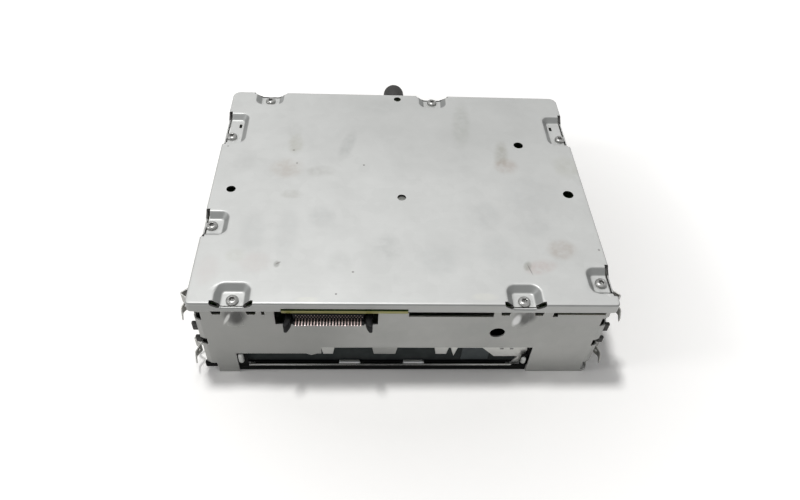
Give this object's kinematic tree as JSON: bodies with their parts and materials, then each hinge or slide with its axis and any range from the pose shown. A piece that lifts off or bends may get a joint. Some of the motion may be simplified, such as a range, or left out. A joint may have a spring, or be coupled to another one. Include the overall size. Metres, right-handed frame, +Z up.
{
  "type": "car radio",
  "caption": "Sheet metal car radio chassis with its front panel off: screwed cover, pin header, disc slot, side spring clips and rear locating stud.",
  "frame": {"origin": "centre of the underside, the flat base cover that the radio lies on", "axes": "+Z up through the screwed cover, -Y out of the front with the disc slot, +X to the right as seen from the front"},
  "size_m": [0.1884, 0.1752, 0.0516],
  "materials": {
    "galvanised_steel": "satin zinc coated sheet",
    "bright_steel": "bright plated sheet",
    "spring_steel": "bright rolled strip",
    "screw_steel": "plated",
    "cast_aluminium": "extruded, satin",
    "black_plastic": "moulded",
    "white_plastic": "moulded",
    "circuit_board": "resist coated laminate",
    "black_rubber": "matt",
    "copper_wire": "enamelled winding",
    "lens_glass": "coated",
    "ribbon_film": "smooth film"
  },
  "bodies": {
    "housing": {"chassis": "galvanised_steel", "lid": "galvanised_steel", "base_cover": "galvanised_steel", "lid_screw_front_left": "screw_steel", "lid_screw_front_right": "screw_steel", "lid_screw_back_left": "screw_steel", "lid_screw_back_right": "screw_steel", "lid_screw_left_back": "screw_steel", "lid_screw_left_middle": "screw_steel", "lid_screw_right_back": "screw_steel", "lid_screw_right_front": "screw_steel", "main_board": "circuit_board", "front_header": "black_plastic", "tuner_module": "bright_steel", "antenna_socket": "bright_steel", "rear_connector": "black_plastic", "amplifier_ic": "black_plastic", "heat_sink": "cast_aluminium", "heat_sink_screw_left": "screw_steel", "heat_sink_screw_right": "screw_steel", "capacitor": "black_plastic", "choke": "copper_wire", "processor_ic": "black_plastic", "ribbon_cable": "ribbon_film", "ribbon_socket_board": "white_plastic", "ribbon_socket_deck": "white_plastic", "rear_stud": "screw_steel", "stud_nut": "screw_steel", "stud_cap": "black_rubber", "deck_frame": "bright_steel", "deck_front_plate": "bright_steel", "damper_front_left": "black_rubber", "damper_front_right": "black_rubber", "damper_rear_left": "black_rubber", "damper_rear_right": "black_rubber", "disc_guide": "black_plastic", "loading_motor": "bright_steel", "spindle_motor": "bright_steel", "sled_motor": "bright_steel", "guide_rod_left": "screw_steel", "guide_rod_right": "screw_steel", "clamp_pin": "screw_steel"},
    "upper_left_clip": {"clip_upper_left": "spring_steel"},
    "upper_right_clip": {"clip_upper_right": "spring_steel"},
    "lower_left_clip": {"clip_lower_left": "spring_steel"},
    "lower_right_clip": {"clip_lower_right": "spring_steel"},
    "left_latch": {"latch_left": "black_plastic"},
    "right_latch": {"latch_right": "black_plastic"},
    "roller": {"roller_shaft": "screw_steel", "roller_sleeve": "black_rubber", "roller_gear": "white_plastic"},
    "idler": {"idler_gear": "white_plastic"},
    "pinion": {"motor_pinion": "white_plastic"},
    "turntable_body": {"turntable": "black_plastic"},
    "clamp": {"clamp_arm": "bright_steel"},
    "puck": {"clamp_puck": "black_plastic"},
    "sled": {"pickup_sled": "black_plastic", "pickup_lens": "lens_glass"},
    "drive_screw": {"lead_screw": "screw_steel"}
  },
  "joints": [
    {"name": "upper_left_flex", "type": "hinge", "parent": "housing", "child": "upper_left_clip", "pos_m": [-0.08845, -0.05105, 0.0418], "axis": [0, 0, 1], "range_deg": [0, 3.5], "stiffness_Nm_per_rad": 1.2},
    {"name": "upper_right_flex", "type": "hinge", "parent": "housing", "child": "upper_right_clip", "pos_m": [0.08845, -0.05105, 0.0418], "axis": [0, 0, -1], "range_deg": [0, 3.5], "stiffness_Nm_per_rad": 1.2},
    {"name": "lower_left_flex", "type": "hinge", "parent": "housing", "child": "lower_left_clip", "pos_m": [-0.08845, -0.05105, 0.0094], "axis": [0, 0, 1], "range_deg": [0, 3.5], "stiffness_Nm_per_rad": 1.2},
    {"name": "lower_right_flex", "type": "hinge", "parent": "housing", "child": "lower_right_clip", "pos_m": [0.08845, -0.05105, 0.0094], "axis": [0, 0, -1], "range_deg": [0, 3.5], "stiffness_Nm_per_rad": 1.2},
    {"name": "left_latch_swing", "type": "hinge", "parent": "housing", "child": "left_latch", "pos_m": [-0.0485, -0.06925, 0.0409], "axis": [0, 0, -1], "range_deg": [0, 20]},
    {"name": "right_latch_swing", "type": "hinge", "parent": "housing", "child": "right_latch", "pos_m": [-0.01523, -0.06925, 0.0409], "axis": [0, 0, 1], "range_deg": [0, 20]},
    {"name": "roller_spin", "type": "hinge", "parent": "housing", "child": "roller", "pos_m": [-0.00879, -0.06355, 0.0122], "axis": [1, 0, 0], "continuous": true},
    {"name": "idler_spin", "type": "hinge", "parent": "housing", "child": "idler", "pos_m": [0.0584, -0.04927, 0.0174], "axis": [1, 0, 0], "continuous": true},
    {"name": "pinion_spin", "type": "hinge", "parent": "housing", "child": "pinion", "pos_m": [0.0584, -0.03789, 0.02013], "axis": [1, 0, 0], "continuous": true},
    {"name": "turntable_spin", "type": "hinge", "parent": "housing", "child": "turntable_body", "pos_m": [-0.00879, 0, 0.0096], "axis": [0, 0, 1], "continuous": true},
    {"name": "clamp_lift", "type": "hinge", "parent": "housing", "child": "clamp", "pos_m": [-0.00879, 0.052, 0.0036], "axis": [1, 0, 0], "range_deg": [0, 1.3], "stiffness_Nm_per_rad": 0.5, "springref_deg": -1.72},
    {"name": "puck_spin", "type": "hinge", "parent": "clamp", "child": "puck", "pos_m": [-0.00879, 0, 0.0052], "axis": [0, 0, 1], "continuous": true},
    {"name": "sled_travel", "type": "slide", "parent": "housing", "child": "sled", "axis": [0, 1, 0], "range_m": [0, 0.0325]},
    {"name": "lead_screw_spin", "type": "hinge", "parent": "housing", "child": "drive_screw", "pos_m": [0.01321, 0.03, 0.0191], "axis": [0, 1, 0], "continuous": true}
  ],
  "couplings": [
    {"joint": "roller_spin", "follows": "idler_spin", "ratio": -1.5},
    {"joint": "pinion_spin", "follows": "idler_spin", "ratio": -3.6},
    {"joint": "lead_screw_spin", "follows": "sled_travel", "rad_per_m": 2094.4}
  ]
}
